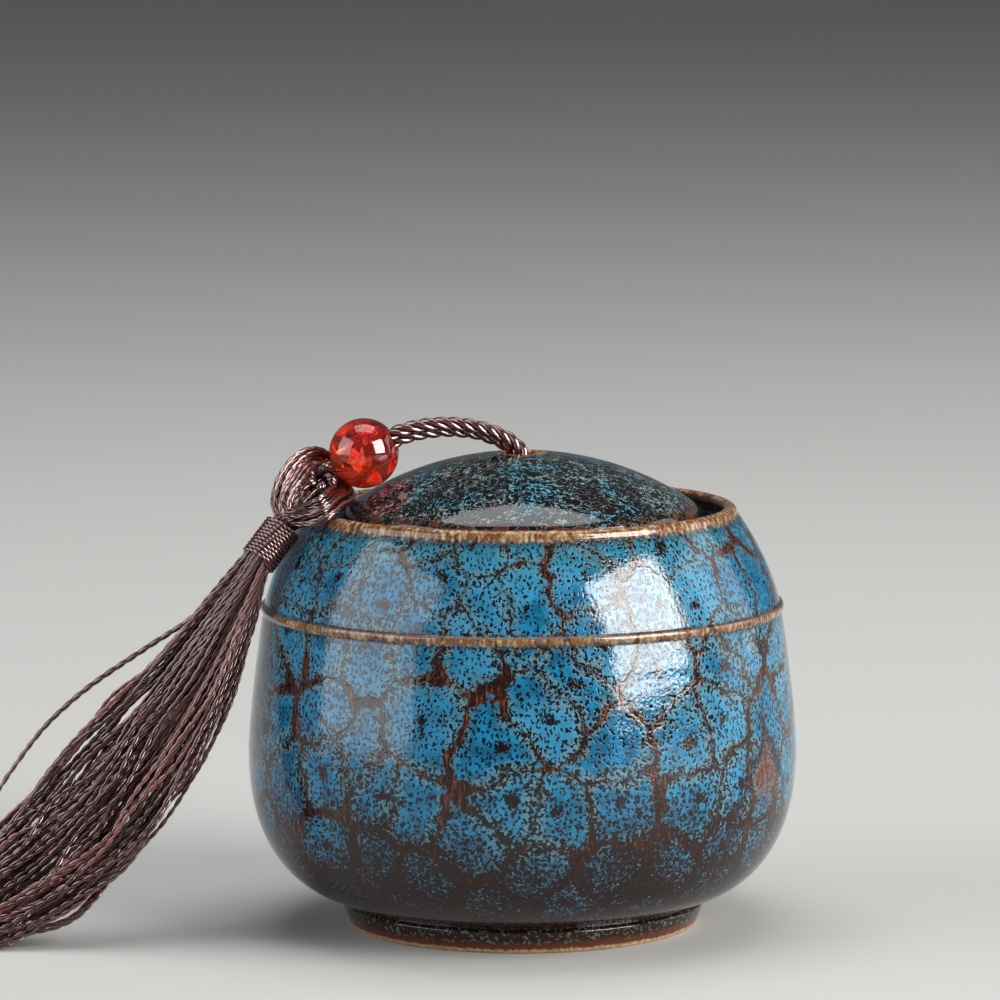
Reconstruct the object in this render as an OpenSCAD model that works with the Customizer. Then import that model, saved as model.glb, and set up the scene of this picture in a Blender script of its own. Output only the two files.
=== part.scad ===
// Small glazed funeral urn: a round jar on a foot ring, a domed lid dropped inside its lip,
// and a silk cord from the lid's hole through a glass ball to a long tassel.
// Millimetres. +Z is up, the origin is the centre of the foot on the table, the tassel hangs to -X.

/* [Foot] */
// Outer radius of the foot ring where it meets the table
foot_r = 35; // [30:0.5:42]
// How much wider the foot ring is at its top
foot_flare = 1.5; // [0:0.1:2.5]
// Height of the foot ring's outer wall
foot_h = 4.8; // [3:0.1:7]
// Width of the foot ring's flat sole
foot_sole_w = 5.5; // [3:0.1:8]
// Depth of the hollow inside the foot ring
foot_recess = 3; // [1:0.1:4]

/* [Jar] */
// Largest radius of the belly
belly_r = 55; // [45:0.5:70]
// Height of the belly's widest line
belly_z = 35.7; // [25:0.1:45]
// Squareness of the belly below its widest line, 2 is an ellipse
belly_power = 2.33; // [2:0.01:3]
// Radius of the wall at the raised band
band_r = 51.8; // [44:0.1:60]
// Height of the raised band
band_z = 64.1; // [50:0.1:74]
// Radius of the raised band's round edge
band_edge_r = 1.1; // [0.6:0.1:2]
// How far the shoulder bulges from a straight cone
shoulder_bulge = 1.1; // [0:0.1:3]
// Height of the lip's crest
lip_z = 84.3; // [75:0.1:105]
// Thickness of the rounded lip
lip_t = 3; // [2:0.1:5]
// Thickness of the jar's wall
wall = 4.6; // [3:0.1:7]
// Thickness of the floor above the foot's hollow
floor_t = 6; // [3:0.1:9]

/* [Ledge] */
// Depth of the ledge below the lip's crest
ledge_drop = 6.3; // [4:0.1:9]
// Width of the ledge under the lid's edge
ledge_w = 4.8; // [2.5:0.1:8]
// Thickness of the ledge at the mouth
ledge_t = 3.7; // [2:0.1:6]

/* [Lid] */
// Outer radius of the lid's edge
lid_r = 35.8; // [28:0.1:45]
// Gap between the lid's edge and the inside of the lip
moat_w = 4.3; // [1:0.1:8]
// Radius of the dome's outer curve
dome_r = 62; // [50:0.5:90]
// Radius of the dome's rounded edge
lid_edge_r = 3.8; // [1:0.1:5]
// Height of the lid's edge from its seat to the start of the round
lid_edge_h = 3.6; // [1:0.1:6]
// Thickness of the dome
dome_t = 4.2; // [3:0.1:6]
// Depth of the ring that drops into the mouth
spigot_h = 4.5; // [2:0.1:10]
// Thickness of the ring that drops into the mouth
spigot_t = 3.4; // [2:0.1:6]
// Clearance between that ring and the mouth
spigot_gap = 0.6; // [0.3:0.1:2]

/* [Cord] */
// Width of the doubled twisted cord
cord_d = 4.6; // [3:0.1:6]
// Clearance round the cord in the lid's hole
hole_gap = 1; // [0.5:0.1:2]
// Width of the bevel round the top of the lid's hole
hole_bevel = 1; // [0.2:0.1:2]
// Radius of the knot under the lid
stopper_r = 4.5; // [4:0.1:7]
// Radius of the knot in the tassel's head
knot_r = 3; // [2.8:0.1:5]
// Clearance between the stopper knot and the lid
knot_gap = 0.3; // [0.1:0.1:1]

/* [Glass ball] */
// Diameter of the glass ball
bead_d = 14; // [10:0.5:18]
// Clearance round the cord in the ball's bore
bore_gap = 0.3; // [0.1:0.05:1]
// Clearance between the ball and the dome
bead_gap = 0.4; // [0.1:0.1:2]

/* [Tassel] */
// Radius of the thread bundle in the head's loop
loop_r = 1.5; // [1:0.1:2]
// Radius of the thread bundle in the neck
neck_r = 2.8; // [2:0.1:4]
// Clearance between the neck and its binding
wrap_gap = 0.2; // [0.1:0.05:0.5]
// Thickness of the binding thread
wrap_t = 0.9; // [0.5:0.05:1.4]
// Number of turns in the binding
wrap_turns = 11; // [6:1:16]
// Clearance of the lowest threads from the table
table_gap = 0.3; // [0.2:0.1:1]

/* [Hidden] */
$fn = 160;

// Jar
bevel = 0.4;          // small bevel on the glazed edges
foot_top_r = foot_r + foot_flare;
sole_in_r = foot_r - foot_sole_w;
belly_start_r = 30.5; // where the belly's lower curve would start, under the foot ring
belly_from = 12;      // angle on that curve at which the belly leaves the groove
groove = 0.9;         // depth of the turned groove over the foot ring
floor_z = foot_recess + floor_t;
floor_r = 26;         // start of the inner belly curve on the floor
lip_r = lid_r + moat_w + lip_t / 2;
lip_c_z = lip_z - lip_t / 2;
ledge_z = lip_z - ledge_drop;
mouth_r = lid_r - ledge_w;
ledge_rise = 5;       // height of the ledge's sloping underside

// Lid
roll_angle = asin((lid_r - lid_edge_r) / (dome_r - lid_edge_r));
roll_z = ledge_z + lid_edge_h;
dome_c_z = roll_z - (dome_r - lid_edge_r) * cos(roll_angle);
top_z = dome_c_z + dome_r;
under_r = dome_r - dome_t;
spigot_r = mouth_r - spigot_gap;
spigot_in_r = spigot_r - spigot_t;
hole_r = cord_d / 2 + hole_gap;
hole_low_z = dome_c_z + sqrt(under_r * under_r - hole_r * hole_r);

// The stopper knot lies just below the hole's lower edge, and the cord starts on its flat top
flat_r = cord_d / 2 + 0.05;  // the knots' flats are a hair wider than the cord
stopper_c_z = hole_low_z - sqrt(pow(stopper_r + knot_gap, 2) - hole_r * hole_r);
cord_start = [0, 0, stopper_c_z + sqrt(stopper_r * stopper_r - flat_r * flat_r)];

// The jar, lid and ball that the hand-laid routes below were laid out for
laid_belly_r = 55;
laid_lid_r = 35.8;
laid_top_z = 95;
laid_bead_r = 7;
laid_bead_c = [-31.4, -1, 94.9];

// The ball rests against the dome, on the line from the dome's centre
bead_r = bead_d / 2;
bead_lean = 26.9;     // angle of that line from the vertical
bead_dip = 26.565;    // slope of the bore, down to the left
bead_reach = dome_r + bead_gap + bead_r;
bead_c = [-bead_reach * sin(bead_lean), -1, dome_c_z + bead_reach * cos(bead_lean)];

// The tassel's neck: centre of the binding's top and bottom
neck_top = [-46.8, -14, 82.2];
neck_end = [-52.4, -17, 75];
neck_stub = 2;        // how far the bundle stands out of the binding before it parts into the loop

// Centre line of the cord, from inside the lid's hole, over the dome and through the ball to the far knot
cord_route = [
    [0, 0, 92.9], [-0.3, 0, 94.2], [-1.3, 0, 95.7], [-3.2, 0, 97.2],
    [-5.8, 0, 98.4], [-8.7, 0, 99.3], [-11.8, -0.1, 99.8], [-15, -0.2, 100], [-18.2, -0.5, 99.8],
    [-21.3, -0.8, 99.3], [-24.2, -1, 98.5], [-27.4, -1, 96.9], [-31.4, -1, 94.9], [-35.4, -1, 92.9],
    [-37.6, -1, 91.8], [-39, -1.9, 90.7]
];

// Centre line of the loop of threads in the tassel's head, from the neck round the knot and back
loop_route = [
    [-46.6, -13.1, 83.7], [-47.8, -12, 85.4], [-47.6, -9.5, 88.2], [-46, -6.3, 91.6], [-43.4, -2.9, 94],
    [-40.4, 1.2, 94.2], [-37.5, 4.8, 91.8], [-35.7, 4, 88.6], [-35, -1, 86.6], [-35.3, -8, 86.5],
    [-36.5, -14.6, 86.6], [-38.1, -21.8, 85.8], [-40.7, -21.4, 84.6], [-43.1, -18.4, 84],
    [-45.2, -14.4, 84]
];

// Lower and upper edge of the fan of threads, and half of its thickness between them
fan_low = [
    [-50.2, -17.4, 73.3], [-52.6, -18.4, 62.6], [-57.1, -21, 48.1], [-63.4, -23, 35.5],
    [-70.2, -25, 23.8], [-78.1, -27, 14.2], [-88.9, -28.4, 5.6], [-102, -29.6, 1.2],
    [-115, -31, 0.9], [-128, -32, 0.8]
];
fan_top = [
    [-54.6, -16.6, 76.7], [-61.2, -14, 69.2], [-71.8, -12, 56.8], [-81.8, -12, 47.4],
    [-89.8, -12, 38.6], [-96.2, -12.6, 31.2], [-104, -13.4, 23], [-112, -14, 14.6],
    [-121, -14, 7.4], [-130, -13, 3.4]
];
fan_half_t = [2.8, 3.4, 4.2, 4.8, 5, 5, 4.6, 3.6, 2.4, 1.4];

function unit(v) = v / norm(v);
function clamp01(x) = min(1, max(0, x));
function last(list) = list[len(list) - 1];

// A hand-laid point moves with the sizes of the jar, the lid and the ball
function settle(p) =
    let (high = clamp01(p.z / neck_end.z))
    let (out = clamp01((-p.x - 24) / 14))
    let (from_bead = p - laid_bead_c)
    let (near = clamp01((20 - norm(from_bead)) / 9))
    let (lift = [-sin(bead_lean), 0, cos(bead_lean)])
    p + (top_z - laid_top_z) * high * [0, 0, 1]
    - (belly_r - laid_belly_r) * sqrt(1 - high) * [1, 0, 0]
    - (lid_r - laid_lid_r) * out * high * (1 - near) * [1, 0, 0]
    + (bead_r - laid_bead_r) * near * (lift + from_bead / max(1, norm(from_bead)));

// Catmull-Rom curve through hand-laid points, with a number of steps between each two
function curve(p, steps) = [
    for (i = [0 : len(p) - 2])
        for (s = [0 : steps - 1])
            let (a = p[max(0, i - 1)], b = p[i], c = p[i + 1], d = p[min(len(p) - 1, i + 2)], t = s / steps)
            let (bend = 2 * a - 5 * b + 4 * c - d, turn = 3 * b - a - 3 * c + d)
            (2 * b + (c - a) * t + bend * t * t + turn * t * t * t) / 2,
    last(p)
];

// Directions along a route, and a sideways direction carried along it without twist
function heads(p) = [for (i = [0 : len(p) - 1]) unit(p[min(len(p) - 1, i + 1)] - p[max(0, i - 1)])];
function sides_along(h, v, i = 0) =
    i >= len(h) ? [] : let (s = unit(v - h[i] * (v * h[i]))) concat([s], sides_along(h, s, i + 1));

// Closed skin over a list of rings, each a list of the same number of points
module skin(rings) {
    n = len(rings[0]);
    count = len(rings);
    function centre(r) = [for (i = [0 : n - 1]) 1] * r / n;
    points = concat([for (r = rings) each r], [centre(rings[0]), centre(last(rings))]);
    walls = [
        for (k = [0 : count - 2], i = [0 : n - 1])
            let (j = (i + 1) % n, a = k * n + i, b = k * n + j)
            each [[a, b, b + n], [a, b + n, a + n]]
    ];
    start_cap = [for (i = [0 : n - 1]) [count * n, (i + 1) % n, i]];
    end_cap = [for (i = [0 : n - 1]) [count * n + 1, (count - 1) * n + i, (count - 1) * n + (i + 1) % n]];
    polyhedron(points = points, faces = concat(walls, start_cap, end_cap), convexity = 6);
}

// Round tube along a route
module tube(route, r, count, sideways) {
    h = heads(route);
    s = sides_along(h, sideways);
    skin([
        for (i = [0 : len(route) - 1])
            let (u = s[i], v = cross(h[i], s[i]))
            [for (k = [0 : count - 1]) route[i] + r * (cos(360 * k / count) * u - sin(360 * k / count) * v)]
    ]);
}

// Puts the Z axis of its children on the line from a towards b, with the origin at a
module along(a, b) {
    d = b - a;
    translate(a)
        rotate([0, acos(d.z / norm(d)), atan2(d.y, d.x)])
            children();
}

// Knot as a ball with a flat on top, where the cord's end meets it; the flat is at the origin
module knot(r) {
    flat_angle = asin(flat_r / r);
    rotate_extrude()
        polygon(concat(
            [[0, 0]],
            [for (a = steps(flat_angle, 180, 12)) [max(0, r * sin(a)), r * (cos(a) - cos(flat_angle))]]
        ));
}

// Outer and inner curves of the jar's wall, from the foot up
function lower_belly(start_r, start_z, end_r, from) = [
    for (a = [from : (90 - from) / 16 : 90.01])
        [start_r + (end_r - start_r) * pow(sin(min(90, a)), 2 / belly_power),
         start_z + (belly_z - start_z) * (1 - pow(max(0, cos(a)), 2 / belly_power))]
];
function upper_r(z) = belly_r - (belly_r - band_r) * pow(clamp01((z - belly_z) / (band_z - belly_z)), 1.34);
function shoulder_r(z) =
    let (q = (z - band_z) / (lip_c_z - band_z), end_r = lip_r + lip_t / 2)
    band_r + (end_r - band_r) * q + 4 * shoulder_bulge * q * (1 - q);
function steps(from, to, n) = [for (i = [0 : n]) from + (to - from) * i / n];

module body() {
    band_half_h = 0.87 * band_edge_r;
    inner_top = ledge_z - ledge_t - ledge_rise;
    outer = concat(
        [[foot_r - bevel, 0], [foot_r, bevel], [foot_top_r, foot_h - bevel], [foot_top_r - bevel, foot_h],
         [foot_top_r - groove, foot_h + bevel]],
        lower_belly(belly_start_r, foot_h + bevel, belly_r, belly_from),
        [for (z = steps(belly_z + 2, band_z - band_half_h, 9)) [upper_r(z), z]],
        [for (a = steps(-45, 45, 6)) [band_r + band_edge_r * (cos(a) - 0.45), band_z + band_edge_r * sin(a)]],
        [for (z = steps(band_z + band_half_h, lip_c_z, 8)) [shoulder_r(z), z]],
        [for (a = steps(20, 180, 8)) [lip_r + lip_t / 2 * cos(a), lip_c_z + lip_t / 2 * sin(a)]]
    );
    floor_curve = lower_belly(floor_r, floor_z, belly_r - wall, 0);
    inner = concat(
        [[shoulder_r(ledge_z) - wall, ledge_z], [mouth_r + bevel, ledge_z], [mouth_r, ledge_z - bevel],
         [mouth_r, ledge_z - ledge_t]],
        [for (z = steps(inner_top, band_z, 2)) [shoulder_r(z) - wall, z]],
        [for (z = steps(band_z - 3, belly_z + 2, 8)) [upper_r(z) - wall, z]],
        [for (i = [len(floor_curve) - 1 : -1 : 0]) floor_curve[i]]
    );
    under = [
        [0, floor_z], [0, foot_recess], [sole_in_r - 3 * bevel, foot_recess],
        [sole_in_r - bevel, 1.5 * bevel], [sole_in_r, 0]
    ];
    color([0.16, 0.5, 0.68])
        rotate_extrude()
            polygon(concat(outer, inner, under));
}

module lid() {
    dome_start = asin((hole_r + hole_bevel) / dome_r);
    under_edge = asin(spigot_in_r / under_r);
    under_start = asin(hole_r / under_r);
    color([0.08, 0.16, 0.19])
        rotate_extrude()
            polygon(concat(
                [[hole_r, dome_c_z + dome_r * cos(dome_start) - hole_bevel]],
                [for (a = steps(dome_start, roll_angle, 14)) [dome_r * sin(a), dome_c_z + dome_r * cos(a)]],
                [for (a = steps(roll_angle + 8, 90, 6))
                    [lid_r - lid_edge_r + lid_edge_r * sin(a), roll_z + lid_edge_r * cos(a)]],
                [[lid_r, ledge_z + bevel], [lid_r - bevel, ledge_z], [spigot_r, ledge_z],
                 [spigot_r, ledge_z - spigot_h + bevel], [spigot_r - bevel, ledge_z - spigot_h],
                 [spigot_in_r, ledge_z - spigot_h]],
                [for (a = steps(under_edge, under_start, 12)) [under_r * sin(a), dome_c_z + under_r * cos(a)]]
            ));
}

module cord() {
    color([0.42, 0.27, 0.27])
        tube(concat([cord_start], [for (p = cord_route) settle(p)]), cord_d / 2, 12, [0, 1, 0]);
}

module stopper_knot() {
    color([0.4, 0.25, 0.25])
        translate(cord_start)
            knot(stopper_r);
}

module cord_knot() {
    end = settle(last(cord_route));
    before = settle(cord_route[len(cord_route) - 2]);
    color([0.4, 0.25, 0.25])
        along(end, before)
            knot(knot_r);
}

module bead() {
    color([0.85, 0.16, 0.1])
        translate(bead_c)
            rotate([0, 90 - bead_dip, 0])
                difference() {
                    sphere(r = bead_r);
                    cylinder(h = 3 * bead_r, r = cord_d / 2 + bore_gap, center = true);
                }
}

module tassel() {
    n = 24;
    lobes = 8;
    low = curve([for (p = fan_low) settle(p)], 3);
    top = curve([for (p = fan_top) settle(p)], 3);
    half_t = curve(fan_half_t, 3);
    mid = (low + top) / 2;
    h = heads(mid);
    axis = unit(settle(neck_end) - settle(neck_top));
    across = unit(cross(cross(axis, top[0] - low[0]), axis));
    neck = [
        for (c = [settle(neck_top) - neck_stub * axis, settle(neck_end) + 0.3 * axis])
            [for (k = [0 : n - 1])
                let (a = 360 * k / n)
                c + neck_r * (cos(a) * across - sin(a) * cross(axis, across))]
    ];
    fan = [
        for (i = [1 : len(mid) - 1])
            let (wide = (top[i] - low[i]) / 2, thick = unit(cross(h[i], wide)) * half_t[i])
            [for (k = [0 : n - 1])
                let (a = 360 * k / n, flute = 1 - 0.06 * min(1, i / 6) * (1 + cos(lobes * a)) / 2)
                let (p = mid[i] + flute * (cos(a) * wide - sin(a) * thick))
                [p.x, p.y, max(table_gap, p.z)]]
    ];
    color([0.36, 0.23, 0.24]) {
        skin(concat(neck, fan));
        tube(curve([for (p = loop_route) settle(p)], 2), loop_r, 10, [0, 1, 0]);
    }
}

module binding() {
    top = settle(neck_top);
    end = settle(neck_end);
    bore_r = neck_r + wrap_gap;
    pitch = norm(end - top) / wrap_turns;
    color([0.38, 0.24, 0.25])
        along(top, end)
            rotate_extrude()
                polygon(concat(
                    [[bore_r, norm(end - top)], [bore_r, 0]],
                    [for (t = [0 : wrap_turns - 1], a = [-60, -25, 0, 25, 60])
                        [bore_r + wrap_t * (0.4 + 0.6 * cos(a)), pitch * (t + 0.5 + 0.5 * sin(a))]]
                ));
}

body();
lid();
cord();
stopper_knot();
cord_knot();
bead();
tassel();
binding();
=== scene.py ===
import math
import random

import bpy
from mathutils import Matrix, Vector, noise


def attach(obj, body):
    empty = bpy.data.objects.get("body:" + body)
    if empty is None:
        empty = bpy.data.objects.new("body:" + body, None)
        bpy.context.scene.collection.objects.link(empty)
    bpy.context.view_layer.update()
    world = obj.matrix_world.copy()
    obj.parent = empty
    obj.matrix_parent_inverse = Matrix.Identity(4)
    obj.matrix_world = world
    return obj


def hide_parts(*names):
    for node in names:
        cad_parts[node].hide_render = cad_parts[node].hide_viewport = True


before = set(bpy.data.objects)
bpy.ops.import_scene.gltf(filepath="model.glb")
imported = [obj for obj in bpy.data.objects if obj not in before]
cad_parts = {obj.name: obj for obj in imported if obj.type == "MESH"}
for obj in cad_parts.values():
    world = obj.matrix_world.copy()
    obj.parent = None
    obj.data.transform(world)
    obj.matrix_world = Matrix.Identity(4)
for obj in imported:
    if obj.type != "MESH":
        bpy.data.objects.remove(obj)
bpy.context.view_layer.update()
mm = 0.001


# small helpers: numbers, curves, node wires

def smooth(low, high, x):
    t = min(1.0, max(0.0, (x - low) / (high - low)))
    return t * t * (3 - 2 * t)


def blendOf(a, b, t):
    return a + (b - a) * t


def spaced(start, end, count):
    return [blendOf(start, end, i / count) for i in range(count + 1)]


def curveThrough(points, spacing):
    # a smooth curve in metres through points in mm, with a point every so many mm
    points = [p * mm for p in points]
    dense = []
    for i in range(len(points) - 1):
        a, b = points[max(0, i - 1)], points[i]
        c, d = points[i + 1], points[min(len(points) - 1, i + 2)]
        for s in range(16):
            t = s / 16
            dense.append(((2 * b) + (c - a) * t + (2 * a - 5 * b + 4 * c - d) * t * t
                          + (3 * b - a - 3 * c + d) * t ** 3) / 2)
    dense.append(points[-1])
    return evenly(dense, spacing * mm)


def evenly(points, spacing):
    lengths = [0.0]
    for a, b in zip(points, points[1:]):
        lengths.append(lengths[-1] + (b - a).length)
    count = max(2, round(lengths[-1] / spacing))
    result, k = [], 0
    for i in range(count + 1):
        want = lengths[-1] * i / count
        while k < len(points) - 2 and lengths[k + 1] < want:
            k += 1
        span = lengths[k + 1] - lengths[k]
        result.append(points[k].lerp(points[k + 1], (want - lengths[k]) / span if span else 0))
    return result


class Wire:
    # one output socket; arithmetic on it adds Math nodes to its tree
    def __init__(self, bench, socket):
        self.bench, self.socket = bench, socket

    def join(self, operation, *others):
        node = self.bench.add("ShaderNodeMath", {"operation": operation},
                              dict(enumerate((self,) + others)))
        return node[0]

    def __add__(self, other):
        return self.join("ADD", other)

    __radd__ = __add__

    def __mul__(self, other):
        return self.join("MULTIPLY", other)

    __rmul__ = __mul__

    def __sub__(self, other):
        return self.join("SUBTRACT", other)

    def __rsub__(self, other):
        return self * -1 + other

    def __truediv__(self, other):
        return self.join("DIVIDE", other)

    def __pow__(self, other):
        return self.join("POWER", other)

    def least(self, other):
        return self.join("MINIMUM", other)

    def most(self, other):
        return self.join("MAXIMUM", other)

    def step(self, low, high):
        # 0 below low, 1 above high, smooth between; low may be above high
        node = self.bench.add("ShaderNodeMapRange", {"interpolation_type": "SMOOTHSTEP"},
                              {"Value": self, "From Min": low, "From Max": high})
        return node[0]


class Made:
    # a node whose outputs are read as wires, by number or by name
    def __init__(self, bench, node):
        self.bench, self.node = bench, node

    def __getitem__(self, key):
        return Wire(self.bench, self.node.outputs[key])


class Bench:
    # a tree being built, for a material or for geometry nodes
    def __init__(self, tree):
        self.tree = tree

    def add(self, kind, settings=None, values=None):
        node = self.tree.nodes.new(kind)
        for key, value in (settings or {}).items():
            if key == "stops":
                ramp = node.color_ramp
                while len(ramp.elements) < len(value):
                    ramp.elements.new(0.5)
                for element, (place, colour) in zip(ramp.elements, value):
                    element.position, element.color = place, (*colour, 1)
            else:
                setattr(node, key, value)
        for key, value in (values or {}).items():
            if isinstance(value, Wire):
                self.tree.links.new(value.socket, node.inputs[key])
            elif value is not None:
                node.inputs[key].default_value = value
        return Made(self, node)

    def mix(self, factor, first, second):
        node = self.add("ShaderNodeMix", {"data_type": "RGBA", "clamp_factor": True},
                        {0: factor, 6: colourOf(first), 7: colourOf(second)})
        return node[2]

    def layered(self, ground, layers):
        # each layer is (share, colour), laid over all that is under it
        for share, colour in layers:
            ground = self.mix(share, ground, colour)
        return ground

    def vector(self, operation, first, second=None, scale=None):
        values = {0: first, 1: second}
        if scale is not None:
            values["Scale"] = scale
        return self.add("ShaderNodeVectorMath", {"operation": operation}, values)[0]

    def noise(self, place, size, detail=2.0, roughness=0.5, distortion=0.0, out=0):
        return self.add("ShaderNodeTexNoise", {},
                        {"Vector": place, "Scale": 1 / size, "Detail": detail,
                         "Roughness": roughness, "Distortion": distortion})[out]

    def cells(self, feature, place, size, loose):
        return self.add("ShaderNodeTexVoronoi", {"voronoi_dimensions": "2D", "feature": feature},
                        {"Vector": place, "Scale": 1 / size, "Randomness": loose})

    def placeInMm(self):
        return self.vector("SCALE", self.add("ShaderNodeTexCoord")["Object"], scale=1 / mm)

    def parts(self, vector, kind="XYZ"):
        # the three numbers of a vector, or of a colour with kind "Color"
        split = self.add("ShaderNodeSeparate" + kind, {}, {0: vector})
        return split[0], split[1], split[2]

    def joined(self, x, y):
        return self.add("ShaderNodeCombineXYZ", {}, {0: x, 1: y, 2: 0.0})[0]

    def shoved(self, colour, reach):
        # a noise colour as a push either way, half of reach at most
        return self.vector("SCALE", self.vector("SUBTRACT", colour, (0.5, 0.5, 0.5)), scale=reach)


def colourOf(value):
    return value if isinstance(value, Wire) else (*value, 1.0)


def rgb(red, green, blue):
    # a colour as it shows on screen, turned to the linear values that nodes take
    return tuple(((c / 255 + 0.055) / 1.055) ** 2.4 if c > 10 else c / 255 / 12.92
                 for c in (red, green, blue))


def newMaterial(name):
    material = bpy.data.materials.new(name)
    material.use_nodes = True
    material.node_tree.nodes.clear()
    return material, Bench(material.node_tree)


def finishMaterial(bench, values, bump=None):
    # bump is (height wire, distance, strength)
    shader = bench.add("ShaderNodeBsdfPrincipled", {}, values)
    if bump:
        height, distance, strength = bump
        lifted = bench.add("ShaderNodeBump", {},
                           {"Height": height, "Distance": distance, "Strength": strength})
        bench.tree.links.new(lifted["Normal"].socket, shader.node.inputs["Normal"])
    bench.add("ShaderNodeOutputMaterial", {}, {"Surface": shader["BSDF"]})


def linkObject(name, data):
    made = bpy.data.objects.new(name, data)
    bpy.context.scene.collection.objects.link(made)
    return made


# camera, in front and a little above, looking slightly down

cameraView = {"lens": 201.2, "sensor": 36.0, "away": 1.109, "height": 0.2206, "aside": -0.0043,
              "tiltDown": 6.96, "roll": 0.27}


def placeCamera():
    data = bpy.data.cameras.new("viewCamera")
    data.lens, data.sensor_width = cameraView["lens"], cameraView["sensor"]
    data.clip_start, data.clip_end = 0.01, 20
    camera = linkObject("viewCamera", data)
    turn = (Matrix.Rotation(math.radians(90 - cameraView["tiltDown"]), 4, "X")
            @ Matrix.Rotation(math.radians(-cameraView["roll"]), 4, "Z"))
    camera.matrix_world = Matrix.Translation(
        (cameraView["aside"], -cameraView["away"], cameraView["height"])) @ turn
    bpy.context.scene.camera = camera


placeCamera()
print("camera placed")


# thread: one geometry tree lays any number of plies round each given line

def buildLayTree():
    tree = bpy.data.node_groups.new("layPlies", "GeometryNodeTree")
    face = tree.interface
    face.new_socket("Lines", in_out="INPUT", socket_type="NodeSocketGeometry")
    sizes = (("Plies", "NodeSocketInt", 2), ("Lay Radius", "NodeSocketFloat", 0.0002),
             ("Ply Radius", "NodeSocketFloat", 0.0002), ("Pitch", "NodeSocketFloat", 0.003),
             ("Sides", "NodeSocketInt", 5), ("Finish", "NodeSocketMaterial", None))
    for name, kind, value in sizes:
        socket = face.new_socket(name, in_out="INPUT", socket_type=kind)
        if value is not None:
            socket.default_value = value
    face.new_socket("Thread", in_out="OUTPUT", socket_type="NodeSocketGeometry")
    bench = Bench(tree)
    given = bench.add("NodeGroupInput")
    lines = bench.add("GeometryNodeMeshToCurve", {}, {"Mesh": given["Lines"]})["Curve"]
    plies = bench.add("GeometryNodeDuplicateElements", {"domain": "SPLINE"},
                      {"Geometry": lines, "Amount": given["Plies"]})
    along = bench.add("GeometryNodeSplineParameter")["Length"]
    phase, girth = (bench.add("GeometryNodeInputNamedAttribute", {"data_type": "FLOAT"},
                              {"Name": name})["Attribute"] for name in ("phase", "girth"))
    share = plies["Duplicate Index"] / given["Plies"]
    angle = (along / given["Pitch"] + share + phase) * (2 * math.pi)
    tangent = bench.add("GeometryNodeInputTangent")[0]
    side = bench.add("GeometryNodeInputNormal")[0]
    other = bench.vector("CROSS_PRODUCT", tangent, side)
    reach = given["Lay Radius"] * girth
    offset = bench.vector("ADD",
                          bench.vector("SCALE", side, scale=angle.join("COSINE") * reach),
                          bench.vector("SCALE", other, scale=angle.join("SINE") * reach))
    laid = bench.add("GeometryNodeSetPosition", {}, {"Geometry": plies["Geometry"], "Offset": offset})[0]
    sized = bench.add("GeometryNodeSetCurveRadius", {},
                      {"Curve": laid, "Radius": given["Ply Radius"] * girth})[0]
    ring = bench.add("GeometryNodeCurvePrimitiveCircle", {"mode": "RADIUS"},
                     {"Resolution": given["Sides"], "Radius": 1.0})["Curve"]
    tubes = bench.add("GeometryNodeCurveToMesh", {},
                      {"Curve": sized, "Profile Curve": ring, "Fill Caps": True})
    if "Scale" in tubes.node.inputs:
        radius = bench.add("GeometryNodeInputRadius")[0]
        tree.links.new(radius.socket, tubes.node.inputs["Scale"])
    soft = bench.add("GeometryNodeSetShadeSmooth", {}, {"Geometry": tubes["Mesh"]})[0]
    whole = bench.add("GeometryNodeRealizeInstances", {}, {"Geometry": soft})[0]
    dressed = bench.add("GeometryNodeSetMaterial", {},
                        {"Geometry": whole, "Material": given["Finish"]})[0]
    bench.add("NodeGroupOutput", {}, {"Thread": dressed})
    return tree


layTree = buildLayTree()


def layThread(name, lines, make):
    # lines: a list of (points, phase, girth, tone), the girth a number or a list along the points
    # make: the piece's own numbers, in mm
    verts, edges, phases, girths, tones = [], [], [], [], []
    for points, phase, girth, tone in lines:
        start = len(verts)
        verts += [tuple(p) for p in points]
        edges += [(start + i, start + i + 1) for i in range(len(points) - 1)]
        phases += [phase] * len(points)
        girths += list(girth) if hasattr(girth, "__len__") else [girth] * len(points)
        tones += [tone] * len(points)
    mesh = bpy.data.meshes.new(name + "Lines")
    mesh.from_pydata(verts, edges, [])
    for label, values in (("phase", phases), ("girth", girths), ("tone", tones)):
        mesh.attributes.new(label, "FLOAT", "POINT").data.foreach_set("value", values)
    draft = linkObject(name, mesh)
    modifier = draft.modifiers.new("lay", "NODES")
    modifier.node_group = layTree
    wanted = {"Plies": make["plies"], "Sides": make["sides"], "Finish": silkMaterial,
              "Lay Radius": make["layRadius"] * mm, "Ply Radius": make["plyRadius"] * mm,
              "Pitch": make["pitch"] * mm}
    for item in layTree.interface.items_tree:
        if item.item_type == "SOCKET" and item.in_out == "INPUT" and item.name in wanted:
            modifier[item.identifier] = wanted[item.name]
    return applied(draft)


def applied(draft):
    # the evaluated mesh as a plain one, with no modifier left
    bpy.context.view_layer.update()
    result = bpy.data.meshes.new_from_object(draft.evaluated_get(bpy.context.evaluated_depsgraph_get()))
    draft.modifiers.clear()
    draft.data = result
    result.name = draft.name
    return draft


silkFinish = {"dark": rgb(16, 4, 5), "mid": rgb(48, 19, 18), "pale": rgb(126, 74, 68),
              "stops": (0.05, 0.5, 1.0), "fuzz": 0.5, "patch": 7.0, "roughness": 0.07, "roughFuzz": 0.2,
              "ior": 1.8, "gloss": 0.85, "glossTint": (1.0, 0.76, 0.73, 1.0), "lift": 0.00002}


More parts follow.
